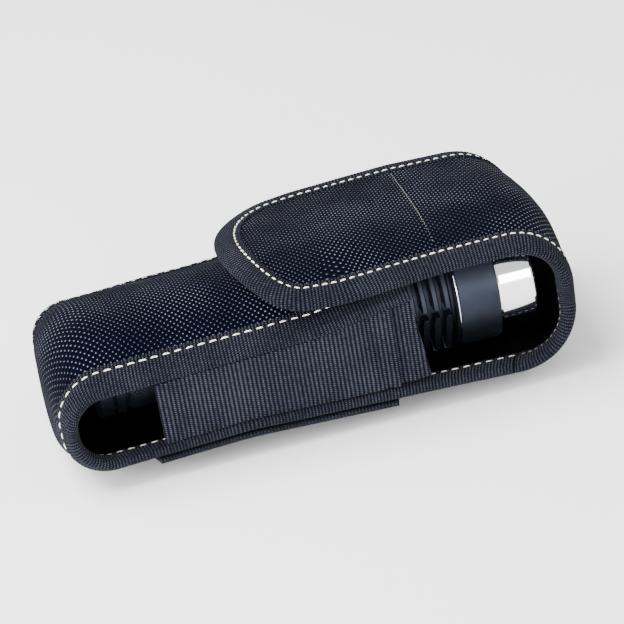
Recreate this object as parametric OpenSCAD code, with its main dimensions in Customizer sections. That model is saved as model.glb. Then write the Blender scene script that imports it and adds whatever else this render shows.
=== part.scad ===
// Pocket flashlight carried in a padded nylon belt holster.
// X runs along the light towards its lens, Z is up, and Z = 0 is the underside of the belt loop.

/* [Holster] */
// Half width of the holster over its edge bindings
half_w = 29.6; // [28:0.1:31]
// Width of the binding tape on one face
binding_w = 6; // [5:0.1:7]
// Thickness of the padded nylon strip
strip_t = 3; // [2.6:0.1:3]
// Thickness over the binding tape at the strip's edge
binding_t = 3.8; // [3.4:0.1:4]
// Half length of the holster at its side edges, to the strip's mid thickness
edge_x = 61.8; // [61:0.1:62]
// Half length of the holster along its middle, to the strip's mid thickness
mid_x = 64; // [63.8:0.1:64.5]
// How far the light lies to the near side of the middle
light_side = 6; // [4:0.5:6]
// Height of the back panel's mid thickness along its middle
back_z = 3.5; // [3.5:0.1:3.6]
// Height of the front panel's mid thickness along its middle
front_z = 36; // [36:0.1:36.4]
// Height of the flap's mid thickness along its middle
flap_z = 41; // [41:0.1:41.4]
// Place of the front panel's open mouth
mouth_x = 24; // [22:0.1:24]
// Place of the flap's rounded tip
tip_x = -16.8; // [-20:0.1:-14]
// Length of the rounded part of the flap's tip
tip_len = 20; // [16:0.5:24]

/* [Side elastic] */
// Thickness of one layer of elastic
elastic_t = 1.3; // [1:0.1:1.4]
// Tail end of the elastic panel
elastic_x0 = -40.5; // [-42:0.5:-38]
// Head end of the elastic's outer layer
elastic_x1 = 18.6; // [17:0.1:19]

/* [Belt loop] */
// Length of the flattened belt loop
loop_len = 62; // [50:1:70]
// Width of the belt loop's webbing
loop_w = 38; // [30:1:40]
// Thickness of the two layers of webbing
loop_t = 1.9; // [1.6:0.1:1.9]

/* [Flashlight] */
// Radius of the head
head_r = 16.4; // [16:0.1:16.4]
// Radius of the battery tube
tube_r = 11.4; // [11.2:0.1:11.5]
// Radius of the tail cap's rings
tail_r = 11.9; // [11.8:0.1:12]
// Height of the flashlight's axis
axis_z = 21.8; // [21.8:0.1:21.9]
// Number of cooling fins
fin_count = 4; // [3:1:4]
// Distance from one fin to the next
fin_pitch = 2.9; // [2.7:0.1:2.9]
// Radius of the battery cell
cell_r = 9.2; // [9:0.1:9.3]

/* [Hidden] */

arc_steps = 8;             // pieces in each rounded bend
run_steps = 5;             // pieces in each straight run
skin_gap = 0.3;            // air between faces that move past each other
patch_t = 0.8;             // thickness of each hook and loop patch
panel_half = half_w - binding_w;
seam = 56.9;               // step of the outline where the flap hinges
seam_gap = 0.015;          // part of one outline step left open at that seam
fit_gap = 0.05;            // running clearance of a shaft in its bore

// Side edges of the strip, from the mouth round the tail and the head to the flap's tip: x, z, bend
near_line = [[mouth_x, 32.1, 0], [0, 28.2, 40], [-edge_x, 26.2, 9.2], [-edge_x, 6.9, 9.2],
             [-20, 8.6, 90], [edge_x + 0.6, 4.9, 14], [edge_x + 0.6, 37.0, 13],
             [34, 37.0, 40], [8, 35.2, 60], [tip_x, 37.4, 0]];
far_line = [[mouth_x, 28.4, 0], [0, 25.4, 40], [-edge_x, 23.0, 7.6], [-edge_x, 6.9, 7.6],
            [-20, 8.6, 90], [edge_x + 0.6, 4.9, 14], [edge_x + 0.6, 38.2, 14.6],
            [34, 39.2, 40], [8, 38.2, 60], [tip_x, 35.4, 0]];
// Ridge of the strip, over and under the light, round the same bends
mid_line = [[mouth_x, front_z, 0], [0, front_z + 0.05, 700], [-mid_x, front_z, 13],
            [-mid_x, back_z, 6], [-20, back_z - 0.05, 1500], [mid_x, back_z, 6],
            [mid_x, flap_z, 12], [34, flap_z + 0.1, 800], [8, flap_z + 0.1, 650],
            [tip_x, flap_z, 0]];

function unit(v) = v / norm(v);
function turn(a, b) = a[0] * b[1] - a[1] * b[0];
function blend(a, b, t) = a + (b - a) * t;
function spot(p) = [p[0], p[1]];

// Distance from a corner to where its bend starts
function tangent(a, c, b) =
    let (u = unit(spot(c) - spot(a)), v = unit(spot(b) - spot(c)))
    c[2] * tan(atan2(abs(turn(u, v)), u * v) / 2);

// Points of one rounded corner
function bend(a, c, b) =
    let (u = unit(spot(c) - spot(a)), v = unit(spot(b) - spot(c)),
         side = turn(u, v) > 0 ? 1 : -1,
         sweep = atan2(abs(turn(u, v)), u * v),
         start = spot(c) - u * tangent(a, c, b),
         middle = start + side * c[2] * [-u[1], u[0]],
         from = start - middle)
    [for (i = [0 : arc_steps])
        let (t = side * sweep * i / arc_steps)
        middle + [from[0] * cos(t) - from[1] * sin(t), from[0] * sin(t) + from[1] * cos(t)]];

// Inner points of the straight run between two bends
function run(a, b) = [for (i = [1 : run_steps - 1]) blend(a, b, i / run_steps)];

// Whole outline as points: run, bend, run, bend and so on
function outline(c) =
    let (n = len(c), bends = [for (i = [1 : n - 2]) bend(c[i - 1], c[i], c[i + 1])])
    concat([spot(c[0])],
           [for (i = [0 : n - 3])
                let (before = i == 0 ? spot(c[0]) : bends[i - 1][arc_steps])
                each concat(run(before, bends[i][0]), bends[i])],
           run(bends[n - 3][arc_steps], spot(c[n - 1])), [spot(c[n - 1])]);

near_pts = outline(near_line);
far_pts = outline(far_line);
mid_pts = outline(mid_line);
last = len(mid_pts) - 1;

// How far a side position follows the ridge: 1 over the light and 0 at the edges
function crown(y) =
    let (t = y < -light_side ? (-light_side - y) / (half_w - light_side)
                             : (y + light_side) / (half_w + light_side))
    pow(max(1 - t * t, 0), 1.4);
function at(pts, u) =
    let (i = min(floor(u), last - 1)) blend(pts[i], pts[i + 1], u - i);

// Point of the strip's middle surface at step u of the outline and at side y
function strip_at(u, y) =
    blend(at(y < -light_side ? near_pts : far_pts, u), at(mid_pts, u), crown(y));
function outward(u, y) =
    let (d = unit(strip_at(min(u + 0.5, last), y) - strip_at(max(u - 0.5, 0), y)))
    [d[1], -d[0]];

// Same point moved outwards by off
function skin(u, y, off) =
    let (p = strip_at(u, y) + off * outward(u, y)) [p[0], y, p[1]];

// Closed slab between two grids of points with the same rows and columns
module slab(top, bottom) {
    rows = len(top);
    cols = len(top[0]);
    size = rows * cols;
    points = concat([for (r = top) each r], [for (r = bottom) each r]);
    rim = concat([for (j = [0 : cols - 2]) j],
                 [for (i = [0 : rows - 2]) i * cols + cols - 1],
                 [for (j = [cols - 1 : -1 : 1]) (rows - 1) * cols + j],
                 [for (i = [rows - 1 : -1 : 1]) i * cols]);
    count = len(rim);
    faces = concat(
        [for (i = [0 : rows - 2], j = [0 : cols - 2], k = [0, 1])
            let (a = i * cols + j)
            k == 0 ? [a, a + 1, a + cols + 1] : [a, a + cols + 1, a + cols]],
        [for (i = [0 : rows - 2], j = [0 : cols - 2], k = [0, 1])
            let (a = size + i * cols + j)
            k == 0 ? [a, a + cols + 1, a + 1] : [a, a + cols, a + cols + 1]],
        [for (i = [0 : count - 1], k = [0, 1])
            let (a = rim[i], b = rim[(i + 1) % count])
            k == 0 ? [a, a + size, b] : [b, a + size, b + size]]);
    polyhedron(points, faces);
}

// Piece of the strip over steps us and sides ys, between two offsets
module strip_piece(us, ys, inner, outer) {
    slab([for (u = us) [for (y = ys) skin(u, y, outer)]],
         [for (u = us) [for (y = ys) skin(u, y, inner)]]);
}

function steps(a, b, n) = [for (i = [0 : n]) blend(a, b, i / n)];
function between(a, b) =
    concat([a], [for (i = [floor(a) + 1 : ceil(b) - 1]) i], [b]);

holster_us = between(0, seam - seam_gap);
panel_ys = concat(steps(-panel_half, -light_side, 5), steps(-light_side + 4, panel_half, 6));

module back_strip() {
    color("#1c2030") strip_piece(holster_us, panel_ys, -strip_t / 2, strip_t / 2);
}

module side_binding(side) {
    inner = side * panel_half;
    outer = side * half_w;
    color("#2b2d33")
        strip_piece(holster_us, steps(min(inner, outer), max(inner, outer), 2),
                    -binding_t / 2, binding_t / 2);
}

// Elastic side panel, stretched between the front and back bindings
module elastic_panel(side) {
    drop = side > 0 ? 2.6 : 0;
    color("#34353a") translate([0, side * (half_w - 0.8), 0]) rotate([90, 0, 0])
        linear_extrude(elastic_t, center = true)
            polygon([[elastic_x0, 9.9], [-20, 10.7], [elastic_x1, 9.6],
                     [elastic_x1, 29.1 - 1.4 * drop], [0, 26.1 - drop],
                     [elastic_x0, 24.6 - 1.2 * drop]]);
}

// Margin of the elastic, turned under the back edge and bound with it
module elastic_tuck(side) {
    inner = side * (half_w - 6);
    outer = side * half_w;
    color("#34353a")
        strip_piece(between(40.7, 54.6), steps(min(inner, outer), max(inner, outer), 2),
                    binding_t / 2 + 0.15, binding_t / 2 + elastic_t);
}

// Inner layer of the elastic, folded and slanting towards the head
module elastic_hem(side) {
    depth = 1.2;
    drop = side > 0 ? 1.9 : 0;
    color("#2a2b30") translate([0, side * (half_w - 0.82 - elastic_t / 2 - depth / 2), 0])
        rotate([90, 0, 0]) linear_extrude(depth, center = true)
            polygon([[elastic_x1 - 7, 10.1], [elastic_x1 + 7.4, 9.2],
                     [elastic_x1 + 5.2, 29.6 - 1.9 * drop], [elastic_x1 - 7, 27.4 - 1.4 * drop]]);
}

module belt_loop() {
    color("#232429") translate([-loop_len / 2, -loop_w / 2, 0]) cube([loop_len, loop_w, loop_t]);
}

patch_ys = steps(-light_side - 8, -light_side + 8, 8);

module hook_patch() {
    color("#202126") strip_piece(between(1.4, 4.6), patch_ys,
                                 strip_t / 2 + 0.08, strip_t / 2 + patch_t);
}

// Outline of the flap's tongue on the strip: step u and side y, along one side to near the tip
tip_step = (8 - tip_x) / run_steps;
tongue_u = last - tip_len / tip_step;
function tongue(half, end) =
    concat([for (u = between(seam + seam_gap, tongue_u)) [u, half]],
           [for (a = [10 : 10 : 80]) [blend(tongue_u, end, sin(a)), half * cos(a)]]);

tongue_in = tongue(panel_half, last - binding_w / tip_step);
tongue_out = tongue(half_w, last);

module flap_strip() {
    ys = steps(-1, 1, 10);
    color("#1c2030")
        slab([for (p = tongue_in) [for (k = ys) skin(p[0], k * p[1], strip_t / 2)]],
             [for (p = tongue_in) [for (k = ys) skin(p[0], k * p[1], -strip_t / 2)]]);
}

module flap_binding() {
    count = len(tongue_in);
    order = concat([for (i = [0 : count - 1]) [i, -1]], [for (i = [count - 1 : -1 : 0]) [i, 1]]);
    rows = [for (o = order)
        let (a = tongue_in[o[0]], b = tongue_out[o[0]])
        [for (k = [1, 0.5, 0]) [blend(a[0], b[0], k), o[1] * blend(a[1], b[1], k)]]];
    color("#2b2d33")
        slab([for (r = rows) [for (p = r) skin(p[0], p[1], -binding_t / 2)]],
             [for (r = rows) [for (p = r) skin(p[0], p[1], binding_t / 2)]]);
}

module loop_patch() {
    color("#202126") strip_piece(between(last - 5.2, last - 2.4), patch_ys,
                                 -strip_t / 2 - patch_t, -strip_t / 2 - 0.08);
}

// Flashlight: every turned piece is a profile of [radius, x] spun about the light's axis
module turned(profile) {
    translate([0, -light_side, axis_z]) rotate([0, 90, 0])
        rotate_extrude($fn = 96) polygon(profile);
}

head_x0 = 23.0;            // rear of the head
fin_x0 = 24.6;             // first cooling fin
fin_w = 1.5;               // thickness of a fin
fin_root_r = 12.4;
fin_span = 10.8;           // length of the slots and flats along the head
flat_r = 14.6;             // distance of each flat from the axis
sleeve_x0 = 36.2;          // rear of the black sleeve behind the bezel
bezel_x0 = 47.2;           // rear of the bright bezel
bezel_x1 = 57.0;           // front of the bezel
spigot_r = 12.8;           // head's spigot inside the sleeve
spigot_x1 = 43.0;
thread_r = 10.4;           // reduced ends of the battery tube
tube_x0 = -30.0;           // tail end of the tube's full diameter
tube_x1 = head_x0;
cap_x0 = -54.3;            // outer end of the tail cap
cell_x0 = -33.0;
cell_x1 = 31.2;
bore_r = 9.6;              // battery bore

module head_body() {
    color("#17181b") difference() {
        union() {
            turned([[0, head_x0], [tube_r, head_x0], [fin_root_r, fin_x0],
                    [fin_root_r, sleeve_x0 - 0.8], [spigot_r, sleeve_x0 - 0.6],
                    [spigot_r, spigot_x1], [0, spigot_x1]]);
            for (i = [0 : fin_count - 1])
                turned([[0, fin_x0 + i * fin_pitch], [head_r - 0.5, fin_x0 + i * fin_pitch],
                        [head_r - 0.2, fin_x0 + i * fin_pitch + 0.3],
                        [head_r - 0.2, fin_x0 + i * fin_pitch + fin_w - 0.3],
                        [head_r - 0.5, fin_x0 + i * fin_pitch + fin_w],
                        [0, fin_x0 + i * fin_pitch + fin_w]]);
        }
        turned([[0, head_x0 - 1], [thread_r + 0.02, head_x0 - 1], [thread_r + 0.02, 31.4],
                [bore_r, 31.4], [bore_r, 35.4], [0, 35.4]]);
        turned([[0, 38.4], [11.2, 38.4], [11.2, spigot_x1 + 1], [0, spigot_x1 + 1]]);
        // A narrow slot between every two sets of fins, and a flat on every other set
        for (i = [0 : 5])
            translate([fin_x0 - 0.3, -light_side, axis_z]) rotate([i * 60 + 30, 0, 0])
                translate([0, -1.1, fin_root_r + 0.4]) cube([fin_span, 2.2, 6]);
        for (i = [0 : 2])
            translate([fin_x0 - 0.3, -light_side, axis_z]) rotate([i * 120, 0, 0])
                translate([0, -10, flat_r]) cube([fin_span, 20, 6]);
    }
}

module battery_tube() {
    color("#17181b") difference() {
        turned([[0, tube_x0 - 9.8], [thread_r, tube_x0 - 9.8], [thread_r, tube_x0],
                [tube_r, tube_x0], [tube_r, tube_x1 - 0.02], [thread_r, tube_x1 - 0.02],
                [thread_r, 31.2], [0, 31.2]]);
        turned([[0, tube_x0 - 11], [bore_r, tube_x0 - 11], [bore_r, 32], [0, 32]]);
        for (x = [tube_x0 - 7.5, 27.5])
            turned([[thread_r - 0.45, x], [thread_r + 1, x], [thread_r + 1, x + 1.2],
                    [thread_r - 0.45, x + 1.2]]);
    }
}

module o_ring(x) {
    color("#111111") turned([[thread_r - 0.43, x + 0.05], [thread_r - 0.02, x + 0.05],
                             [thread_r - 0.02, x + 1.15], [thread_r - 0.43, x + 1.15]]);
}

module heat_shelf() {
    color("silver") turned([[0, 38.42], [11.1, 38.42], [11.1, 39.4], [0, 39.4]]);
}

module led_board() {
    color("white") turned([[0, 39.4], [8, 39.4], [8, 40.6], [0, 40.6]]);
}

module led_emitter() {
    dome = 1.6;
    color("khaki") turned(concat([[0, 40.6], [1.9, 40.6], [1.9, 41.2]],
        [for (a = [0 : 15 : 90]) [dome * cos(a), 41.2 + dome * sin(a)]]));
}

module driver_board() {
    color("green") turned([[0, 33.6], [9.5, 33.6], [9.5, 35.38], [0, 35.38]]);
}

module driver_contact() {
    color("gold") turned([[0, 32.4], [3, 32.4], [3, 33.6], [0, 33.6]]);
}

module battery_cell() {
    color("royalblue") turned([[0, cell_x0], [cell_r - 0.5, cell_x0], [cell_r, cell_x0 + 0.5],
                               [cell_r, cell_x1 - 0.5], [cell_r - 0.5, cell_x1], [0, cell_x1]]);
}

module cell_cap() {
    color("silver") turned([[0, cell_x1], [3.2, cell_x1], [3.2, cell_x1 + 1.1],
                            [0, cell_x1 + 1.1]]);
}

module focus_sleeve() {
    color("#17181b") turned([
        [spigot_r + fit_gap, sleeve_x0], [head_r - 1.0, sleeve_x0], [head_r, sleeve_x0 + 1.0],
        [head_r, bezel_x0 - 0.4], [head_r - 0.4, bezel_x0], [14.4, bezel_x0],
        [14.4, spigot_x1 + 1.2], [spigot_r + fit_gap, spigot_x1 + 1.2]]);
}

module bezel_ring() {
    lip = 1.4;
    color("gainsboro") turned(concat(
        [[13.4, bezel_x0], [head_r - 0.3, bezel_x0], [head_r - 0.1, bezel_x0 + 0.4]],
        [for (a = [0 : 15 : 90])
            [head_r - 0.1 - lip + lip * cos(a), bezel_x1 - lip + lip * sin(a)]],
        [[13.6, bezel_x1], [12.6, bezel_x1 - 1.4], [12.6, bezel_x1 - 2.6],
         [14.0, bezel_x1 - 2.6], [14.0, bezel_x0 + 1.4], [13.4, bezel_x0 + 1.4]]));
}

module lens_gasket() {
    color("#111111") turned([[12.8, bezel_x1 - 3.4], [13.95, bezel_x1 - 3.4],
                             [13.95, bezel_x1 - 2.62], [12.8, bezel_x1 - 2.62]]);
}

module lens() {
    color("lightcyan", 0.4) turned([[0, bezel_x1 - 5.2], [13.95, bezel_x1 - 5.2],
                                    [13.95, bezel_x1 - 3.4], [0, bezel_x1 - 3.4]]);
}

// Curved bowl from the emitter's hole to the back of the lens
module reflector() {
    wall = 0.7;
    x0 = 44.4;
    x1 = bezel_x1 - 5.25;
    r0 = 4.5;
    r1 = 12.5;
    bowl = [for (i = [0 : 8]) let (t = i / 8) [blend(r0, r1, sqrt(t)), blend(x0, x1, t)]];
    color("silver") turned(concat(bowl, [[r1 + 0.7, x1], [r1 + 0.7, x1 - 0.6]],
        [for (i = [7 : -1 : 0]) [bowl[i][0] + wall, max(bowl[i][1] - 0.3, x0)]]));
}

module tail_cap() {
    groove = 0.9;
    color("#17181b") difference() {
        turned([[0, cap_x0], [tail_r - 1.2, cap_x0], [tail_r, cap_x0 + 1.2],
                [tail_r, cap_x0 + 4.4], [tail_r - groove, cap_x0 + 4.6],
                [tail_r - groove, cap_x0 + 5.1], [tail_r, cap_x0 + 5.3],
                [tail_r, cap_x0 + 7.5], [tail_r - groove, cap_x0 + 7.7],
                [tail_r - groove, cap_x0 + 8.3], [tube_r, cap_x0 + 8.5],
                [tube_r, tube_x0 - skin_gap], [0, tube_x0 - skin_gap]]);
        turned([[0, cap_x0 - 1], [7.0 + 0.08, cap_x0 - 1], [7.0 + 0.08, -52.0],
                [bore_r, -52.0], [bore_r, -41.0], [thread_r + fit_gap, -41.0],
                [thread_r + fit_gap, tube_x0], [0, tube_x0]]);
    }
}

module switch_module() {
    color("dimgray") turned([[2.06, -47.6], [9.4, -47.6], [9.4, -43.2], [0, -43.2],
                             [0, -45.4], [2.06, -45.4]]);
}

module retaining_ring() {
    color("goldenrod") turned([[5.4, -43.2], [9.5, -43.2], [9.5, -41.6], [5.4, -41.6]]);
}

module tail_spring() {
    wire = 0.7;
    color("gold") turned([[2.4, -43.18], [2.4 + wire, -43.18], [4.2 + wire, cell_x0 - 0.1],
                          [4.2, cell_x0 - 0.1]]);
}

module switch_boot() {
    dome = 2.2;
    color("#101012") turned(concat(
        [[0, -50.4], [9.2, -50.4], [9.2, -51.6], [7.0, -51.6]],
        [for (a = [0 : 15 : 75]) [7.0 - dome + dome * cos(a), -55.3 - dome * sin(a)]],
        [[7.0 - dome, -57.5], [0, -57.5]]));
}

module switch_plunger() {
    color("white") turned([[0, -50.4], [2.0, -50.4], [2.0, -47.2], [0, -47.2]]);
}

back_strip();
side_binding(-1);  // binding_near
side_binding(1);  // binding_far
elastic_panel(-1);  // elastic_near
elastic_panel(1);  // elastic_far
elastic_tuck(-1);  // elastic_tuck_near
elastic_tuck(1);  // elastic_tuck_far
elastic_hem(-1);  // elastic_hem_near
elastic_hem(1);  // elastic_hem_far
belt_loop();
hook_patch();
flap_strip();
flap_binding();
loop_patch();
head_body();
battery_tube();
heat_shelf();
led_board();
led_emitter();
driver_board();
driver_contact();
battery_cell();
cell_cap();
o_ring(27.5);  // tube_o_ring
focus_sleeve();
bezel_ring();
lens();
lens_gasket();
reflector();
tail_cap();
switch_module();
retaining_ring();
tail_spring();
o_ring(tube_x0 - 7.5);  // tail_o_ring
switch_boot();
switch_plunger();
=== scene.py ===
"""Looks of the flashlight in its padded belt holster.

Lengths are in millimetres until they reach a mesh, a lamp or the camera, which take metres.
"""
import math

import bpy
import numpy as np
from mathutils import Matrix, Vector


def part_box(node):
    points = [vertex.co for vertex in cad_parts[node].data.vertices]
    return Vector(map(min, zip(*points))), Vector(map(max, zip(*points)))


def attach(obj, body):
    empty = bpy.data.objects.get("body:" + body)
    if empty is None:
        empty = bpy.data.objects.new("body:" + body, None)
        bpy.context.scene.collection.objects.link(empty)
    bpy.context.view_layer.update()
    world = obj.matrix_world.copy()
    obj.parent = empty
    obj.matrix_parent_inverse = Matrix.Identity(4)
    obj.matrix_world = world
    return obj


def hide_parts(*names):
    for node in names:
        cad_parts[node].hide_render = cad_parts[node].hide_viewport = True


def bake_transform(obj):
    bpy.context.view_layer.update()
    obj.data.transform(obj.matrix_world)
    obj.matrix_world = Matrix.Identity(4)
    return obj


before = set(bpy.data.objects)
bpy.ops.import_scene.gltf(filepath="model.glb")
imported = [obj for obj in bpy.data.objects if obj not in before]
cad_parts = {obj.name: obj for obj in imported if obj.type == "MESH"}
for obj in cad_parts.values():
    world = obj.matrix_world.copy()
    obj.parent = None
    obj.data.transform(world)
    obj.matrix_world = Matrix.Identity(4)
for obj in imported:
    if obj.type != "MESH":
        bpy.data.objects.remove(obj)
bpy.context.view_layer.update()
MM = 0.001
random = np.random.default_rng(7)


def size_mm(node):
    """Lowest and highest corners of a CAD node in millimetres."""
    low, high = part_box(node)
    return np.array(low) / MM, np.array(high) / MM


# ---------------------------------------------------------------- driving dimensions
SLEEVE_LOW, SLEEVE_HIGH = size_mm("focus_sleeve")
TUBE_LOW, TUBE_HIGH = size_mm("battery_tube")
AXIS_Z = (SLEEVE_LOW[2] + SLEEVE_HIGH[2]) / 2
TUBE_R = (TUBE_HIGH[2] - TUBE_LOW[2]) / 2
HALF_W = size_mm("binding_far")[1][1]
TIP_X = size_mm("flap_binding")[0][0]
LIGHT_Y = -6.0             # the light lies this far to the near side
CROWN_POWER = 1.4          # how quickly the strip falls from its ridge to its edges
STRIP_T = 3.0              # thickness of the padded strip
TAPE_T = 3.9               # thickness of the bound edge over the stitches
EDGE_T = 2.8               # thickness of the bound edge at its very border
TAPE_W = 6.1
STITCH_INSET = 1.4         # from the tape's inner border to its stitches
SEAT = 1 - STITCH_INSET / TAPE_W       # the stitch line, as a share of the tape's width
HOLSTER_STITCH = 2.9       # pitch of the stitches round the sides
FLAP_STITCH = 2.25         # pitch of the stitches round the flap
RIB_PITCH = 0.85           # ribs of the tapes
ELASTIC_RIB = 1.05
ELASTIC_T = 1.15
WEAVE_PITCH = 1.6
ROWS_PER_RIB = 6           # mesh rows that draw one rib
TIP_LEN = 20.0             # length of the flap's round tip
MOUTH_X = 24.0             # pocket's mouth
FRONT_Z = 36.0
FLAP_Z = 41.0
BACK_Z = 3.5
EDGE_X = 61.8
MID_X = 64.0
PANEL_Y = 12.0             # side position where the panels' steps are even
EDGE_Y = 27.0              # side position where the tapes' steps are even
SIDES = (("near", -1), ("far", 1))

# Side edges and ridge of the strip: x, z and bend radius at each corner
NEAR_LINE = [(MOUTH_X, 32.1, 0), (0, 28.2, 40), (-EDGE_X, 26.2, 9.2), (-EDGE_X, 6.9, 9.2),
             (-20, 8.6, 90), (EDGE_X + 0.6, 4.9, 14), (EDGE_X + 0.6, 37.0, 13),
             (34, 37.0, 40), (8, 35.2, 60), (TIP_X, 37.4, 0)]
FAR_LINE = [(MOUTH_X, 28.4, 0), (0, 25.4, 40), (-EDGE_X, 23.0, 7.6), (-EDGE_X, 6.9, 7.6),
            (-20, 8.6, 90), (EDGE_X + 0.6, 4.9, 14), (EDGE_X + 0.6, 38.2, 14.6),
            (34, 39.2, 40), (8, 38.2, 60), (TIP_X, 35.4, 0)]
MID_LINE = [(MOUTH_X, FRONT_Z, 0), (0, FRONT_Z + 0.05, 700), (-MID_X, FRONT_Z, 13),
            (-MID_X, BACK_Z, 6), (-20, BACK_Z - 0.05, 1500), (MID_X, BACK_Z, 6),
            (MID_X, FLAP_Z, 12), (34, FLAP_Z + 0.1, 800), (8, FLAP_Z + 0.1, 650),
            (TIP_X, FLAP_Z, 0)]
SAMPLES = 60               # points in each run and each bend of an outline

# Steps along the outline: every run and every bend is one step long
SEAM = 8.98                            # where the holster ends and the flap begins
END = len(MID_LINE) * 2 - 3.0          # the flap's tip
RUN_MM = MID_LINE[-2][0] - TIP_X       # length of the flap's last straight run
TIP_STEP = END - TIP_LEN / RUN_MM      # where the flap's round tip begins
MARGIN = (6.34, 8.52)                  # where the elastic's margin is sewn under the back edge
MARGIN_T = 1.35


# ---------------------------------------------------------------- the strip's surface
def outline(corners):
    """Line with rounded corners: run, bend, run, bend, with SAMPLES points in each."""
    pts = [np.array(c[:2], float) for c in corners]
    pieces, start = [], pts[0]
    t = np.linspace(0, 1, SAMPLES, endpoint=False)[:, None]
    for i in range(1, len(pts) - 1):
        u = (pts[i] - pts[i - 1]) / np.linalg.norm(pts[i] - pts[i - 1])
        v = (pts[i + 1] - pts[i]) / np.linalg.norm(pts[i + 1] - pts[i])
        cross = u[0] * v[1] - u[1] * v[0]
        sweep = math.atan2(abs(cross), u @ v)
        reach = corners[i][2] * math.tan(sweep / 2)
        side = 1 if cross > 0 else -1
        first = pts[i] - u * reach
        middle = first + side * corners[i][2] * np.array([-u[1], u[0]])
        angle = side * sweep * t[:, 0]
        arm = first - middle
        arc = middle + np.stack([arm[0] * np.cos(angle) - arm[1] * np.sin(angle),
                                 arm[0] * np.sin(angle) + arm[1] * np.cos(angle)], 1)
        pieces += [start + (first - start) * t, arc]
        start = pts[i] + v * reach
    pieces += [start + (pts[-1] - start) * t, pts[-1][None]]
    return np.concatenate(pieces)


NEAR, FAR, MID = outline(NEAR_LINE), outline(FAR_LINE), outline(MID_LINE)
STEPS = np.arange(len(MID)) / SAMPLES


def smooth(values, width):
    """Running mean that keeps the ends."""
    kernel = np.ones(width) / width
    padded = np.pad(values, ((width // 2, width // 2), (0, 0)), mode="edge")
    return np.stack([np.convolve(padded[:, k], kernel, "valid") for k in range(2)], 1)


def heading(line):
    """Direction of travel along an outline, eased over its corners."""
    ahead = np.gradient(line, axis=0)
    return smooth(ahead / np.linalg.norm(ahead, axis=1)[:, None], 9)


NEAR_DIR, FAR_DIR, MID_DIR = heading(NEAR), heading(FAR), heading(MID)


def crown(y):
    """How far a side position follows the ridge: 1 over the light and 0 at the edges."""
    y = np.asarray(y, float)
    t = np.where(y < LIGHT_Y, (LIGHT_Y - y) / (HALF_W + LIGHT_Y),
                 (y - LIGHT_Y) / (HALF_W - LIGHT_Y))
    return np.clip(1 - t ** 2, 0, 1) ** CROWN_POWER


def look_up(table, u):
    """Rows of an outline's table at outline steps u."""
    return np.stack([np.interp(u, STEPS, table[:, 0]), np.interp(u, STEPS, table[:, 1])], -1)


def skin(u, y, off):
    """Points of the strip at outline step u and side y, moved outwards by off."""
    u, y, off = np.broadcast_arrays(np.asarray(u, float), y, off)
    w = crown(y)[..., None]
    near = (y < LIGHT_Y)[..., None]
    edge = np.where(near, look_up(NEAR, u), look_up(FAR, u))
    edge_dir = np.where(near, look_up(NEAR_DIR, u), look_up(FAR_DIR, u))
    here = edge * (1 - w) + look_up(MID, u) * w
    ahead = edge_dir * (1 - w) + look_up(MID_DIR, u) * w
    ahead /= np.linalg.norm(ahead, axis=-1)[..., None]
    x = here[..., 0] + off * ahead[..., 1]
    z = here[..., 1] - off * ahead[..., 0]
    return np.stack([x, y, z], -1)


def lengths(points):
    """Distance gone along a row of points at each of them."""
    return np.concatenate([[0], np.cumsum(np.linalg.norm(np.diff(points, axis=0), axis=1))])


def even_steps(u0, u1, y, pitch):
    """Outline steps from u0 to u1, spaced evenly along the strip at side y."""
    dense = np.linspace(u0, u1, 3000)
    gone = lengths(skin(dense, y, 0))
    return np.interp(np.arange(0, gone[-1], pitch), gone, dense)


# ---------------------------------------------------------------- mesh helpers
def add_mesh(name, verts, faces, material, uv=None):
    """Smooth object from points in millimetres, with one uv row for each point."""
    mesh = bpy.data.meshes.new(name)
    mesh.from_pydata((np.asarray(verts, float).reshape(-1, 3) * MM).tolist(), [], faces)
    mesh.validate()
    if uv is not None:
        layer = mesh.uv_layers.new(name="cloth")
        corner = np.empty(len(mesh.loops), int)
        mesh.loops.foreach_get("vertex_index", corner)
        layer.data.foreach_set("uv", np.asarray(uv, float).reshape(-1, 2)[corner].ravel())
    mesh.polygons.foreach_set("use_smooth", [True] * len(mesh.polygons))
    mesh.materials.append(material)
    obj = bpy.data.objects.new(name, mesh)
    bpy.context.scene.collection.objects.link(obj)
    return obj


def ring_faces(rows, cols, first=0, caps=True):
    """Faces of a tube of rows rings with cols points each; caps close both ends."""
    faces = []
    for i in range(rows - 1):
        a, b = first + i * cols, first + (i + 1) * cols
        faces += [(a + j, a + (j + 1) % cols, b + (j + 1) % cols, b + j) for j in range(cols)]
    if caps:
        faces.append(tuple(first + j for j in reversed(range(cols))))
        faces.append(tuple(first + (rows - 1) * cols + j for j in range(cols)))
    return faces


def slab(name, top, bottom, material, uv_top):
    """Closed sheet between two grids of points, with the same uv on both."""
    rows, cols = top.shape[:2]
    ring = np.concatenate([top, bottom[:, ::-1]], 1)
    uv = np.concatenate([uv_top, uv_top[:, ::-1]], 1)
    faces = ring_faces(rows, 2 * cols, caps=False)
    for i, order in ((0, 1), (rows - 1, -1)):
        at = i * 2 * cols
        for j in range(cols - 1):
            quad = (at + j, at + j + 1, at + 2 * cols - 2 - j, at + 2 * cols - 1 - j)
            faces.append(quad[::-order])
    return add_mesh(name, ring, faces, material, uv)


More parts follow.
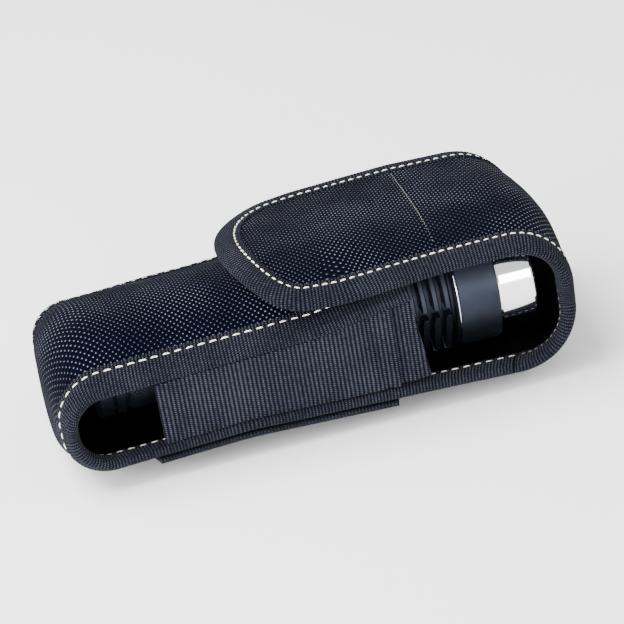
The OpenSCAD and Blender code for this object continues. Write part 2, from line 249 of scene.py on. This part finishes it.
def spun(name, profile, material, sides=128):
    """Turned ring about the light's axis from a closed profile of (radius, x) points."""
    angle = np.arange(sides) * 2 * math.pi / sides
    r, x = np.array(profile, float).T
    pts = np.stack([np.broadcast_to(x[:, None], (len(x), sides)),
                    LIGHT_Y + r[:, None] * np.cos(angle), AXIS_Z + r[:, None] * np.sin(angle)], -1)
    count = len(x)
    faces = []
    for i in range(count):
        a, b = i * sides, ((i + 1) % count) * sides
        faces += [(a + j, b + j, b + (j + 1) % sides, a + (j + 1) % sides) for j in range(sides)]
    return add_mesh(name, pts, faces, material)


# ---------------------------------------------------------------- node materials
class Nodes:
    """Short way to write a node tree: most calls add a node and return its output."""

    def __init__(self, name):
        self.material = bpy.data.materials.new(name)
        self.material.use_nodes = True
        self.tree = self.material.node_tree
        self.shader = self.tree.nodes["Principled BSDF"]

    def link(self, value, socket):
        if isinstance(value, bpy.types.NodeSocket):
            self.tree.links.new(value, socket)
        else:
            socket.default_value = value

    def math(self, operation, a, b=0.0, c=0.0, clamp=False):
        node = self.tree.nodes.new("ShaderNodeMath")
        node.operation = operation
        node.use_clamp = clamp
        for value, socket in zip((a, b, c), node.inputs):
            self.link(value, socket)
        return node.outputs[0]

    def add(self, kind, **settings):
        node = self.tree.nodes.new(kind)
        for key, value in settings.items():
            setattr(node, key, value)
        return node

    def uv(self):
        """Millimetres along and across the cloth."""
        split = self.add("ShaderNodeSeparateXYZ")
        self.link(self.add("ShaderNodeUVMap", uv_map="cloth").outputs[0], split.inputs[0])
        return split.outputs[0], split.outputs[1]

    def place(self):
        return self.add("ShaderNodeTexCoord").outputs["Object"]

    def noise(self, scale, detail=3.0, vector=None):
        node = self.add("ShaderNodeTexNoise")
        self.link(vector if vector is not None else self.place(), node.inputs["Vector"])
        node.inputs["Scale"].default_value = scale
        node.inputs["Detail"].default_value = detail
        node.inputs["Roughness"].default_value = 0.55
        return node.outputs[0]

    def ramp(self, value, stops):
        node = self.add("ShaderNodeValToRGB")
        self.link(value, node.inputs[0])
        ramp = node.color_ramp
        while len(ramp.elements) < len(stops):
            ramp.elements.new(0.5)
        for element, (at, colour) in zip(ramp.elements, stops):
            element.position = at
            element.color = (*colour, 1)
        return node.outputs[0]

    def bump(self, height, distance):
        """Relief of a height from 0 to 1; distance is in metres."""
        node = self.add("ShaderNodeBump")
        node.inputs["Strength"].default_value = 1.0
        node.inputs["Distance"].default_value = distance
        self.link(height, node.inputs["Height"])
        return node.outputs[0]

    def finish(self, colour, rough, normal=None, **constants):
        """Wire up the shader; constants are set on its own sockets."""
        self.link(colour if isinstance(colour, bpy.types.NodeSocket) else (*colour, 1),
                  self.shader.inputs["Base Color"])
        self.link(rough, self.shader.inputs["Roughness"])
        if normal is not None:
            self.link(normal, self.shader.inputs["Normal"])
        for key, value in constants.items():
            self.shader.inputs[key.replace("_", " ")].default_value = value
        return self.material


def wave(n, value, pitch):
    """Cosine of a length in millimetres, one turn for each pitch."""
    return n.math("COSINE", n.math("MULTIPLY", value, 2 * math.pi / pitch))


CLOTH = {"Specular_IOR_Level": 0.0, "Sheen_Weight": 0.03, "Sheen_Roughness": 0.4}


def ballistic_nylon():
    """Coarse navy basket weave whose colour follows its relief: painted highlights on the yarn
    tops and painted shade on the near-black ground between them.
    """
    n = Nodes("ballistic_nylon")
    s, y = n.uv()
    wobble = n.math("MULTIPLY", n.math("SUBTRACT", n.noise(300), 0.5), 0.5)
    lattice = n.math("MULTIPLY", wave(n, n.math("ADD", s, wobble), WEAVE_PITCH),
                     wave(n, n.math("ADD", y, wobble), WEAVE_PITCH))
    height = n.math("MULTIPLY_ADD", lattice, 0.5, 0.5, clamp=True)
    fibres = wave(n, n.math("ADD", s, y), 0.16)
    patch = n.noise(60, 2)
    # Painted light of the weave: the yarn tops are painted brighter as highlight and the hollows
    # darker as shade, varied at random by patch.
    yarn_highlight_and_shade = n.math("MULTIPLY", n.math("POWER", height, 4.0), n.math("ADD", patch, 0.40), clamp=True)
    colour = n.ramp(yarn_highlight_and_shade, [(0.0, (0.0006, 0.0009, 0.0036)), (0.35, (0.0018, 0.0024, 0.0068)),
                           (0.62, (0.026, 0.029, 0.044)), (1.0, (0.20, 0.215, 0.28))])
    rough = n.math("MULTIPLY_ADD", height, -0.12, 0.66)
    relief = n.math("ADD", height, n.math("MULTIPLY", fibres, 0.04))
    return n.finish(colour, rough, n.bump(relief, 0.00024), **CLOTH)


def grosgrain(name, lift, rib_pitch, yarn_pitch):
    """Ribbed tape: ribs of short yarns that stagger from rib to rib, with painted shade in the
    grooves and painted highlights on the yarn beads; lift scales its colour.
    """
    n = Nodes(name)
    s, w = n.uv()
    rib = n.math("MULTIPLY_ADD", wave(n, s, rib_pitch), 0.5, 0.5)
    lean = n.math("MULTIPLY", s, 0.5 * yarn_pitch / rib_pitch)
    yarn = n.math("MULTIPLY_ADD", wave(n, n.math("ADD", w, lean), yarn_pitch), 0.5, 0.5)
    worn = n.noise(70, 3)
    speck = n.noise(1400, 2)
    beads = n.math("MULTIPLY", n.math("MULTIPLY_ADD", rib, 0.75, 0.25),
                   n.math("MULTIPLY_ADD", yarn, 0.65, 0.35))
    # Painted light of the ribs: colour follows the beads' relief, with painted shade between them
    # and painted highlight on them, varied at random by worn and speck.
    tone = n.math("MULTIPLY", beads, n.math("ADD", n.math("MULTIPLY", worn, 0.7), speck),
                  clamp=True)
    colour = n.ramp(tone, [(0.0, (0.0010 * lift, 0.0012 * lift, 0.0024 * lift)),
                           (0.35, (0.0058 * lift, 0.0066 * lift, 0.0100 * lift)),
                           (1.0, (0.048 * lift, 0.051 * lift, 0.068 * lift))])
    rough = n.math("MULTIPLY_ADD", worn, 0.2, 0.65)
    return n.finish(colour, rough, n.bump(beads, 0.00014), **CLOTH)


def lining():
    """Close black lining cloth that reflects almost nothing."""
    n = Nodes("lining")
    nap = n.noise(1500, 3)
    colour = n.ramp(nap, [(0.3, (0.0005, 0.0005, 0.0010)), (0.7, (0.0016, 0.0017, 0.0030))])
    return n.finish(colour, 0.95, n.bump(nap, 0.00006), Specular_IOR_Level=0.02)


def thread(name, lift):
    """Twisted pale sewing thread; lift scales its colour."""
    n = Nodes(name)
    twist = n.noise(2500, 2)
    colour = n.ramp(twist, [(0.3, (0.66 * lift, 0.62 * lift, 0.46 * lift)),
                            (0.65, (0.98 * lift, 0.96 * lift, 0.84 * lift))])
    return n.finish(colour, 0.6, n.bump(twist, 0.00008))


def pile():
    """Short hook-and-loop pile."""
    n = Nodes("pile")
    tufts = n.noise(2200, 4)
    colour = n.ramp(tufts, [(0.35, (0.001, 0.001, 0.002)), (0.7, (0.014, 0.014, 0.018))])
    return n.finish(colour, 0.9, n.bump(tufts, 0.0004), Specular_IOR_Level=0.05)


def anodised():
    """Satin black anodised aluminium with fine turning lines."""
    n = Nodes("anodised")
    split = n.add("ShaderNodeSeparateXYZ")
    n.link(n.place(), split.inputs[0])
    lines = n.noise(1.0, 2, vector=n.math("MULTIPLY", split.outputs[0], 9000.0))
    smudge = n.noise(140, 4)
    colour = n.ramp(smudge, [(0.3, (0.013, 0.016, 0.024)), (0.7, (0.019, 0.023, 0.033))])
    rough = n.math("MULTIPLY_ADD", smudge, 0.14, 0.36)
    return n.finish(colour, rough, n.bump(lines, 0.00001), Metallic=0.85,
                    Specular_IOR_Level=0.3)


def bright_chrome():
    """Polished plating with faint smudges."""
    n = Nodes("bright_chrome")
    smudge = n.noise(90, 4)
    colour = n.ramp(smudge, [(0.3, (0.86, 0.87, 0.89)), (0.7, (0.93, 0.93, 0.94))])
    rough = n.math("MULTIPLY_ADD", smudge, 0.07, 0.04)
    return n.finish(colour, rough, Metallic=1.0)


def dull_rubber():
    """Black rubber with a fine grain."""
    n = Nodes("dull_rubber")
    grain = n.noise(1800, 3)
    colour = n.ramp(grain, [(0.3, (0.008, 0.008, 0.009)), (0.7, (0.018, 0.018, 0.019))])
    return n.finish(colour, n.math("MULTIPLY_ADD", grain, 0.2, 0.55), n.bump(grain, 0.00003))


def speckled(name, dark, light, scale, rough, **constants):
    """Small inner parts: two near tones and a fine grain."""
    n = Nodes(name)
    grain = n.noise(scale, 3)
    colour = n.ramp(grain, [(0.3, dark), (0.7, light)])
    return n.finish(colour, n.math("MULTIPLY_ADD", grain, 0.15, rough), n.bump(grain, 0.00002),
                    **constants)


def clear_glass():
    """Lens glass with a trace of haze."""
    n = Nodes("clear_glass")
    haze = n.noise(200, 3)
    rough = n.math("MULTIPLY_ADD", haze, 0.04, 0.01)
    return n.finish((0.96, 0.98, 1.0), rough, Transmission_Weight=1.0, IOR=1.49)


NYLON = ballistic_nylon()
LINING = lining()
TAPE = grosgrain("binding_tape", 1.0, RIB_PITCH, 0.5)
ELASTIC = grosgrain("elastic_cloth", 1.25, ELASTIC_RIB, 0.55)
WEBBING = grosgrain("belt_webbing", 0.8, RIB_PITCH, 0.6)
THREAD = thread("thread", 1.0)
THREAD_GREY = thread("grey_thread", 0.14)
PILE = pile()
ANODISED = anodised()
CHROME = bright_chrome()
RUBBER = dull_rubber()
GOLD = speckled("contact_gold", (0.75, 0.55, 0.22), (0.88, 0.68, 0.30), 900, 0.2, Metallic=1.0)
SILVER = speckled("milled_aluminium", (0.6, 0.6, 0.62), (0.75, 0.75, 0.77), 900, 0.3, Metallic=1.0)
BOARD = speckled("solder_mask", (0.62, 0.64, 0.60), (0.78, 0.79, 0.75), 1200, 0.45)
PHOSPHOR = speckled("phosphor", (0.75, 0.62, 0.12), (0.9, 0.8, 0.3), 2500, 0.25)
PLASTIC = speckled("moulded_plastic", (0.03, 0.03, 0.032), (0.05, 0.05, 0.052), 1500, 0.4)
WRAP = speckled("cell_wrap", (0.05, 0.12, 0.42), (0.08, 0.18, 0.55), 500, 0.3)
GLASS = clear_glass()


# ---------------------------------------------------------------- padded panels
def puckers(s, y):
    """Small uneven swelling of the padded cloth, in millimetres."""
    return (0.10 * np.sin(s / 7.3 + 1.1) * np.cos(y / 6.1)
            + 0.07 * np.sin(s / 3.9 + y / 5.2) + 0.05 * np.cos(s / 2.6 - y / 3.3))


TUCK = 0.3                 # the panels reach this far under the tapes
PANEL_HALF = HALF_W - TAPE_W + TUCK


def panel(name, us, half):
    """Padded nylon between the tapes; half is the half width at each outline step."""
    share = np.linspace(-1, 1, 61)
    u = us[:, None] * np.ones_like(share)
    y = half[:, None] * share
    s = lengths(skin(us, PANEL_Y, 0))[:, None] * np.ones_like(share)
    swell = puckers(s, y) * (1 - share ** 8)
    top = skin(u, y, STRIP_T / 2 + swell)
    bottom = skin(u, y, -STRIP_T / 2)
    obj = slab(name, top, bottom, NYLON, np.stack([s, y], -1))
    obj.data.materials.append(LINING)
    cols = 2 * len(share)
    inside = [i < (len(us) - 1) * cols and i % cols >= len(share) - 1
              for i in range(len(obj.data.polygons))]
    obj.data.polygons.foreach_set("material_index", np.array(inside, int))
    return obj


# ---------------------------------------------------------------- binding tapes
def tape_section():
    """Closed section of the bound edge: share of the tape's width from the edge, and height."""
    half = TAPE_T / 2
    nose = EDGE_T / 2
    turn = np.radians(np.linspace(-90, 90, 15))
    round_edge = [((nose - nose * math.cos(a)) / TAPE_W, nose * math.sin(a)) for a in turn]
    face = [(0.34, nose + 0.22), (0.42, half), (0.52, half + 0.12), (0.62, half + 0.08),
            (SEAT - 0.07, half - 0.02), (SEAT, half - 0.22), (SEAT + 0.06, half - 0.05),
            (0.93, half - 0.05), (0.985, half - 0.18), (1.0, STRIP_T / 2 - 0.15)]
    back = [(f, -h) for f, h in reversed(face)]
    return np.array(back + round_edge + face)


def tape(name, outer, inner):
    """Grosgrain folded over an edge. outer and inner are its two borders as (step, side) rows."""
    share, height = tape_section().T
    u = outer[:, :1] * (1 - share) + inner[:, :1] * share
    y = outer[:, 1:] * (1 - share) + inner[:, 1:] * share
    measured = -6          # the point of the section, near its stitches, that sets the ribs
    along = lengths(skin(u[:, measured], y[:, measured], STRIP_T / 2))
    rib = np.cos(2 * math.pi * along / RIB_PITCH)[:, None]
    comb = 0.035 + 0.14 * np.clip((share - 0.84) / 0.10, 0, 1)
    ripple = 0.10 * np.sin(along / 4.1)[:, None] * np.exp(-((share - 0.5) / 0.3) ** 2)
    h = height + np.sign(height) * (comb * rib + ripple)
    pts = skin(u, y, h)
    across = lengths(np.stack([share * TAPE_W, height], -1))
    uv = np.stack([along[:, None] * np.ones_like(share), np.ones((len(along), 1)) * across], -1)
    obj = add_mesh(name, pts, ring_faces(len(pts), len(share)), TAPE, uv)
    return obj


def stitch_line(outer, inner):
    """Line where a tape is sewn, as (step, side) rows, and the distance gone along it."""
    line = outer * (1 - SEAT) + inner * SEAT
    return line, lengths(skin(line[:, 0], line[:, 1], TAPE_T / 2))


def even_rows(outer, inner):
    """A tape's two borders resampled to evenly spaced rows along its stitch line."""
    _, gone = stitch_line(outer, inner)
    at = np.arange(0, gone[-1], RIB_PITCH / ROWS_PER_RIB)
    return [np.stack([np.interp(at, gone, border[:, k]) for k in range(2)], 1)
            for border in (outer, inner)]


def stitches(name, outer, inner, faces, pitch, finish=THREAD):
    """One short thread for each stitch, seated in the tape; faces is 1 outside and -1 inside."""
    line, gone = stitch_line(outer, inner)
    rings, sides, thread_r = 7, 8, 0.23
    angle = np.arange(sides) * 2 * math.pi / sides
    verts, mesh_faces = [], []
    for face in faces:
        for centre in np.arange(pitch * 0.6, gone[-1] - 1.0, pitch):
            length = 0.72 * pitch + random.uniform(-0.1, 0.1)
            lean = random.uniform(-0.12, 0.12)
            t = np.linspace(-1, 1, rings)
            at = centre + t * length / 2
            u = np.interp(at, gone, line[:, 0])
            y = np.interp(at, gone, line[:, 1])
            lift = TAPE_T / 2 - 0.12 - 0.30 * t ** 4
            spine = skin(u, y, face * lift)
            out = skin(u, y, face * (lift + 1)) - spine
            ahead = np.gradient(spine, axis=0)
            ahead /= np.linalg.norm(ahead, axis=1)[:, None]
            side = np.cross(ahead, out)
            side /= np.linalg.norm(side, axis=1)[:, None]
            spine = spine + side * (lean * t)[:, None]
            radius = thread_r * np.sqrt(np.clip(1 - np.abs(t) ** 3, 0.12, 1))
            ring = (spine[:, None] + radius[:, None, None]
                    * (np.cos(angle)[None, :, None] * side[:, None]
                       + 0.85 * np.sin(angle)[None, :, None] * out[:, None]))
            mesh_faces += ring_faces(rings, sides, first=len(verts) * rings * sides)
            verts.append(ring)
    obj = add_mesh(name, np.array(verts), mesh_faces, finish)
    return obj


def side_borders(side):
    """Outer and inner border of the tape along one side of the holster."""
    steps = even_steps(0, SEAM, EDGE_Y, 0.35)
    return [np.stack([steps, np.full_like(steps, side * half)], 1)
            for half in (HALF_W, HALF_W - TAPE_W)]


def tongue(half, end):
    """One side of the flap's outline as (step, side), from the seam to the middle of its tip."""
    leg = np.linspace(SEAM, TIP_STEP, 700)
    a = np.radians(np.linspace(0.2, 90, 160))
    u = np.concatenate([leg, TIP_STEP + (end - TIP_STEP) * np.sin(a)])
    y = np.concatenate([np.full_like(leg, half), half * np.cos(a)])
    return np.stack([u, y], 1)


FAR_EXTRA = 1.5            # the flap's tape is this much wider along the far side
TIP_EXTRA = 1.5            # and round its tip
WIDENING = (10.2, 1.8)     # outline step where the far side starts to widen, and over how many


def flap_borders():
    """Outer and inner border of the flap's tape: near side, tip, far side."""
    outer = tongue(HALF_W, END)
    inner = tongue(HALF_W - TAPE_W, END - (TAPE_W + TIP_EXTRA) / RUN_MM)
    far = inner.copy()
    widened = np.clip((far[:, 0] - WIDENING[0]) / WIDENING[1], 0, 1)
    far[:, 1] *= 1 - FAR_EXTRA / (HALF_W - TAPE_W) * widened
    near = np.array([1, -1])
    return (np.concatenate([outer * near, outer[-2::-1]]),
            np.concatenate([inner * near, far[-2::-1]]))


def bend_with_flap(obj):
    """Piece of the flap: bakes its placement into its points."""
    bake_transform(obj)


def cross_seam(name, x, half, pitch):
    """Row of fine grey stitches across the flap, from side to side at x."""
    dense = np.linspace(END - 6, END, 4000)
    u = float(np.interp(-x, -skin(dense, 0.0, 0)[:, 0], dense))
    rings, sides, thread_r = 5, 6, 0.13
    angle = np.arange(sides) * 2 * math.pi / sides
    section = thread_r * np.stack([np.cos(angle), 0 * angle, np.sin(angle)], -1)
    verts, faces = [], []
    for start in np.arange(-half, half, pitch):
        y = start + np.linspace(0, 0.42 * pitch, rings)
        lift = STRIP_T / 2 + 0.10 - 0.12 * np.linspace(-1, 1, rings) ** 2
        spine = skin(np.full(rings, u), y, lift)
        faces += ring_faces(rings, sides, first=len(verts) * rings * sides)
        verts.append(spine[:, None] + section)
    obj = add_mesh(name, np.array(verts), faces, THREAD_GREY)
    return obj


def elastic_margin(word, side):
    """Margin of the elastic sewn under the back edge: a thin strip with a rounded border."""
    rows = even_steps(*MARGIN, EDGE_Y, RIB_PITCH / ROWS_PER_RIB)
    gone = lengths(skin(rows, EDGE_Y, 0))
    half = MARGIN_T / 2
    turn = np.radians(np.linspace(-90, 90, 9))
    across = np.concatenate([[5.6, 3.0], half - half * np.cos(turn), [3.0, 5.6]])
    height = np.concatenate([[-half + 0.25, -half], half * np.sin(turn), [half, half - 0.25]])
    rib = 0.05 * np.cos(2 * math.pi * gone / RIB_PITCH)[:, None]
    y = side * (HALF_W - 0.15 - across)
    pts = skin(rows[:, None], y[None, :], TAPE_T / 2 - 0.05 + half + height + rib)
    along = gone[:, None] * np.ones_like(across)
    uv = np.stack([along, np.ones((len(rows), 1)) * lengths(np.stack([across, height], -1))], -1)
    obj = add_mesh("elastic_margin_" + word, pts, ring_faces(len(rows), len(across)), TAPE, uv)
    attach(obj, "holster")
    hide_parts("elastic_tuck_" + word)


def build_holster():
    """Padded shell with a bound and sewn edge on each side."""
    steps = np.append(even_steps(0, SEAM, PANEL_Y, 1.0), SEAM)
    shell = panel("holster_shell", steps, np.full_like(steps, PANEL_HALF))
    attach(shell, "holster")
    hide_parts("back_strip")
    # The near side is stitched through both faces, and the far side shows its outer face only
    for (word, side), faces in zip(SIDES, ((1, -1), (1,))):
        outer, inner = even_rows(*side_borders(side))
        edge = tape("binding_tape_" + word, outer, inner)
        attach(edge, "holster")
        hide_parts("binding_" + word)
        sewing = stitches("binding_stitches_" + word, outer, inner, faces, HOLSTER_STITCH)
        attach(sewing, "holster")


def build_flap():
    """Bound and sewn edge of the flap, its cross seam and its padded shell."""
    outer, inner = even_rows(*flap_borders())
    edge = tape("flap_tape", outer, inner)
    bend_with_flap(edge)
    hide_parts("flap_binding")
    for word, face, finish in (("", 1, THREAD), ("_inside", -1, THREAD_GREY)):
        sewing = stitches("flap_stitches" + word, outer, inner, (face,), FLAP_STITCH, finish)
        bend_with_flap(sewing)
    bend_with_flap(cross_seam("flap_cross_seam", x=33.2, half=20.5, pitch=1.15))
    line = tongue(PANEL_HALF, END - (TAPE_W - TUCK) / RUN_MM)
    line = line[:-12:6]        # every sixth row, short of the point where the sides meet
    shell = panel("flap_shell", line[:, 0], line[:, 1])
    bend_with_flap(shell)
    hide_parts("flap_strip")


build_holster()
build_flap()
for word, side in SIDES:
    elastic_margin(word, side)


# ---------------------------------------------------------------- elastic sides
def elastic_grid(side, x, z, y):
    """Grid of points of one face of the elastic, with its ribs."""
    rib = 0.06 * np.cos(2 * math.pi * x / ELASTIC_RIB)
    return np.stack([x, side * (y + rib), z], -1)


FAR_DROP = 2.6             # the far side's front edge is this much lower
# Gathers of the elastic: place along x, height, width and lean
GATHERS = ((-37.8, 0.22, 0.8, 0.05), (-33.5, -0.25, 1.2, 0.12), (11.6, 0.20, 1.1, -0.10),
           (14.6, -0.35, 0.9, -0.12), (17.2, 0.25, 0.8, -0.06))


def elastic_side(word, side):
    """Stretched elastic that fills one side of the holster between its front and back edges."""
    low, high = size_mm("elastic_" + word)
    x = np.arange(low[0], high[0], ELASTIC_RIB / ROWS_PER_RIB)
    t = np.linspace(0, 1, 60)
    drop = FAR_DROP if side > 0 else 0.0
    bottom = np.interp(x, (low[0], -20, high[0]), (9.2, 10.0, 8.7))
    top = np.interp(x, (low[0], 0, high[0]),
                    (25.6 - 1.2 * drop, 27.1 - drop, 30.3 - 1.4 * drop))
    grid_x = x[:, None] * np.ones_like(t)
    grid_z = bottom[:, None] * (1 - t) + top[:, None] * t
    depth = np.full_like(grid_x, HALF_W - 0.35)
    for centre, size, width, lean in GATHERS:
        depth += size * np.exp(-((grid_x - centre - lean * (grid_z - 16)) / width) ** 2)
    depth += 0.10 * np.sin(grid_x / 5.3 + grid_z / 7.0) - 0.5 * np.exp(-(t / 0.06) ** 2)
    outside = elastic_grid(side, grid_x, grid_z, depth)
    inside = elastic_grid(side, grid_x, grid_z, depth - ELASTIC_T)
    uv = np.stack([grid_x, grid_z], -1)
    obj = slab("elastic_cloth_" + word, outside, inside, ELASTIC, uv)
    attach(obj, "holster")
    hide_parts("elastic_" + word)


def elastic_hem(word, side):
    """Folded hem at the elastic's head end, leaning back towards its top."""
    low, high = size_mm("elastic_hem_" + word)
    x = np.arange(low[0], high[0] + 0.4, ELASTIC_RIB / ROWS_PER_RIB)
    z = np.linspace(low[2] - 0.3, high[2] + 0.6, 24)
    grid_x, grid_z = np.meshgrid(x, z, indexing="ij")
    reach = (grid_x - low[0]) / (high[0] - low[0])
    grid_x = grid_x - 2.2 * reach * (grid_z - low[2]) / (high[2] - low[2])
    depth = HALF_W - 1.65 - 0.3 * reach + 0.3 * np.exp(-((reach - 0.72) / 0.08) ** 2)
    outside = elastic_grid(side, grid_x, grid_z, depth)
    inside = elastic_grid(side, grid_x, grid_z, depth - 1.0)
    obj = slab("elastic_fold_" + word, outside, inside, ELASTIC, np.stack([grid_x, grid_z], -1))
    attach(obj, "holster")
    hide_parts("elastic_hem_" + word)


for word, side in SIDES:
    elastic_side(word, side)
    elastic_hem(word, side)


# ---------------------------------------------------------------- belt loop and patches
def belt_webbing():
    """Webbing of the belt loop on the holster's back, thinner at its two sewn ends."""
    low, high = size_mm("belt_loop")
    x = np.arange(low[0] + 0.1, high[0] - 0.1, RIB_PITCH / ROWS_PER_RIB)
    y = np.linspace(low[1] + 0.2, high[1] - 0.2, 40)
    gx, gy = np.meshgrid(x, y, indexing="ij")
    end = np.clip((high[0] - np.abs(gx)) / 1.2, 0, 1)
    rib = 0.05 * np.cos(2 * math.pi * gx / RIB_PITCH)
    half = (high[2] - low[2]) / 2
    body = (half - 0.06) * np.sqrt(end)
    top = np.stack([gx, gy, half + body + rib], -1)
    bottom = np.stack([gx, gy, half - body + rib * 0.5], -1)
    obj = slab("belt_webbing", top, bottom, WEBBING, np.stack([gx, gy], -1))
    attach(obj, "holster")
    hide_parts("belt_loop")


def patch(name, node, u0, u1, low_off, high_off, body):
    """Hook or loop patch from outline step u0 to u1, between two heights over the strip."""
    us, y = np.meshgrid(np.linspace(u0, u1, 60), np.linspace(LIGHT_Y - 8, LIGHT_Y + 8, 40),
                        indexing="ij")
    fuzz = random.uniform(-0.06, 0.06, us.shape)
    obj = slab(name, skin(us, y, high_off + fuzz), skin(us, y, low_off), PILE,
               np.stack([us, y], -1))
    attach(obj, body)
    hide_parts(node)


belt_webbing()
patch("hook_pad", "hook_patch", 0.28, 0.92, STRIP_T / 2 - 0.2, STRIP_T / 2 + 0.7, "holster")
patch("loop_pad", "loop_patch", END - 1.0, END - 0.48, -STRIP_T / 2 - 0.7, -STRIP_T / 2 + 0.2,
      "flap")


# ---------------------------------------------------------------- flashlight finishes
FINISHES = {
    "head_body": ANODISED, "battery_tube": ANODISED, "focus_sleeve": ANODISED,
    "tail_cap": ANODISED, "bezel_ring": CHROME, "reflector": CHROME, "lens": GLASS,
    "heat_shelf": SILVER, "led_board": BOARD, "led_emitter": PHOSPHOR, "driver_board": BOARD,
    "driver_contact": GOLD, "battery_cell": WRAP, "cell_cap": SILVER, "tube_o_ring": RUBBER,
    "tail_o_ring": RUBBER, "lens_gasket": RUBBER, "switch_module": PLASTIC,
    "retaining_ring": GOLD, "tail_spring": GOLD, "switch_boot": RUBBER,
    "switch_plunger": PLASTIC,
}
for node, material in FINISHES.items():
    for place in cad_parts[node].material_slots:
        place.material = material


KNURL_AROUND = 66          # diamonds round the tube
KNURL_PITCH = 1.05         # length of one diamond
KNURL_H = 0.26


def knurl(name, x0, x1, body):
    """Sleeve of raised diamonds over a plain stretch of the tube."""
    sides = KNURL_AROUND * 6
    angle = np.arange(sides) * 2 * math.pi / sides
    x = np.arange(x0, x1, KNURL_PITCH / 6)
    turn = KNURL_AROUND * angle[None, :] / 2
    run = (x[:, None] - x0) * math.pi / KNURL_PITCH
    ridge = np.abs(np.sin(turn + run)) * np.abs(np.sin(turn - run))
    fade = np.clip(np.minimum(x - x0, x1 - x) / 0.8, 0, 1)[:, None]
    r = TUBE_R + 0.02 + KNURL_H * np.sqrt(ridge) * fade
    outside = np.stack([np.broadcast_to(x[:, None], r.shape), LIGHT_Y + r * np.cos(angle),
                        AXIS_Z + r * np.sin(angle)], -1)
    faces = ring_faces(len(x), sides, caps=False)
    inner_r = TUBE_R - 0.3
    inner = [np.stack([np.full(sides, at), LIGHT_Y + inner_r * np.cos(angle),
                       AXIS_Z + inner_r * np.sin(angle)], -1) for at in (x[0], x[-1])]
    first, last = len(x) * sides, (len(x) - 1) * sides
    for j in range(sides):
        k = (j + 1) % sides
        faces.append((first + j, first + k, k, j))
        faces.append((last + j, last + k, first + sides + k, first + sides + j))
        faces.append((first + sides + j, first + sides + k, first + k, first + j))
    pts = np.concatenate([outside.reshape(-1, 3), np.concatenate(inner)])
    obj = add_mesh(name, pts, faces, ANODISED)
    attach(obj, body)


# Bright turned edge where the sleeve meets the fins
chamfer = spun("sleeve_chamfer", [(15.6, 36.62), (16.0, 36.52), (16.24, 36.62), (16.36, 36.78),
                                  (16.24, 36.9), (15.6, 36.9)], CHROME)
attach(chamfer, "focus_head")
knurl("tail_knurl", -45.6, -30.6, "tail")
knurl("tube_knurl", -29.6, 8.0, "light")


# ---------------------------------------------------------------- camera, floor and lights
def aim(azimuth, elevation, roll, target, distance):
    """Camera matrix that looks at target; a positive roll leans the picture's up to the left."""
    a, e = math.radians(azimuth), math.radians(elevation)
    back = Vector((math.sin(a) * math.cos(e), -math.cos(a) * math.cos(e), math.sin(e)))
    right = Vector((math.cos(a), math.sin(a), 0))
    up = back.cross(right)
    r = math.radians(roll)
    side = right * math.cos(r) + up * math.sin(r)
    top = up * math.cos(r) - right * math.sin(r)
    turn = Matrix((side, top, back)).transposed().to_4x4()
    return Matrix.Translation(target + back * distance) @ turn


camera = bpy.data.objects.new("camera", bpy.data.cameras.new("camera"))
camera.data.lens = 173.1
camera.data.sensor_width = 36
camera.matrix_world = aim(azimuth=-8.17, elevation=27.06, roll=-10.4,
                          target=Vector((4.1, 0, 19.4)) * MM, distance=0.746)
bpy.context.scene.collection.objects.link(camera)
bpy.context.scene.camera = camera


def area_light(name, place, size, power, target=(0, 0, 0.02)):
    """Soft lamp at place that shines on target; lengths in metres and power in watts."""
    lamp = bpy.data.lights.new(name, "AREA")
    lamp.shape = "RECTANGLE"
    lamp.size, lamp.size_y = size
    lamp.energy = power
    obj = bpy.data.objects.new(name, lamp)
    obj.location = place
    away = Vector(place) - Vector(target)
    obj.rotation_euler = away.to_track_quat("Z", "Y").to_euler()
    bpy.context.scene.collection.objects.link(obj)


area_light("soft_top", (-0.35, 0.05, 0.70), (0.7, 0.6), 16)
area_light("soft_left", (-0.75, -0.35, 0.30), (0.5, 0.5), 11)
area_light("soft_front", (-0.10, -0.85, 0.12), (0.9, 0.22), 10, (0, 0, 0.03))
area_light("soft_right", (0.75, -0.25, 0.35), (0.5, 0.5), 3)

paper = Nodes("floor_paper")
tone = paper.ramp(paper.noise(3, 2), [(0.0, (0.92, 0.92, 0.92)), (1.0, (0.95, 0.95, 0.95))])
FLOOR_HALF = 4             # metres
corners = [(FLOOR_HALF * x, FLOOR_HALF * y, 0) for x, y in ((-1, -1), (1, -1), (1, 1), (-1, 1))]
floor_mesh = bpy.data.meshes.new("floor")
floor_mesh.from_pydata(corners, [], [(0, 1, 2, 3)])
floor_mesh.materials.append(paper.finish(tone, 0.9))
floor = bpy.data.objects.new("floor", floor_mesh)
bpy.context.scene.collection.objects.link(floor)

world = bpy.data.worlds.new("studio")
world.use_nodes = True
sky = world.node_tree.nodes["Background"]
sky.inputs["Color"].default_value = (1, 1, 1, 1)
sky.inputs["Strength"].default_value = 1.1
bpy.context.scene.world = world
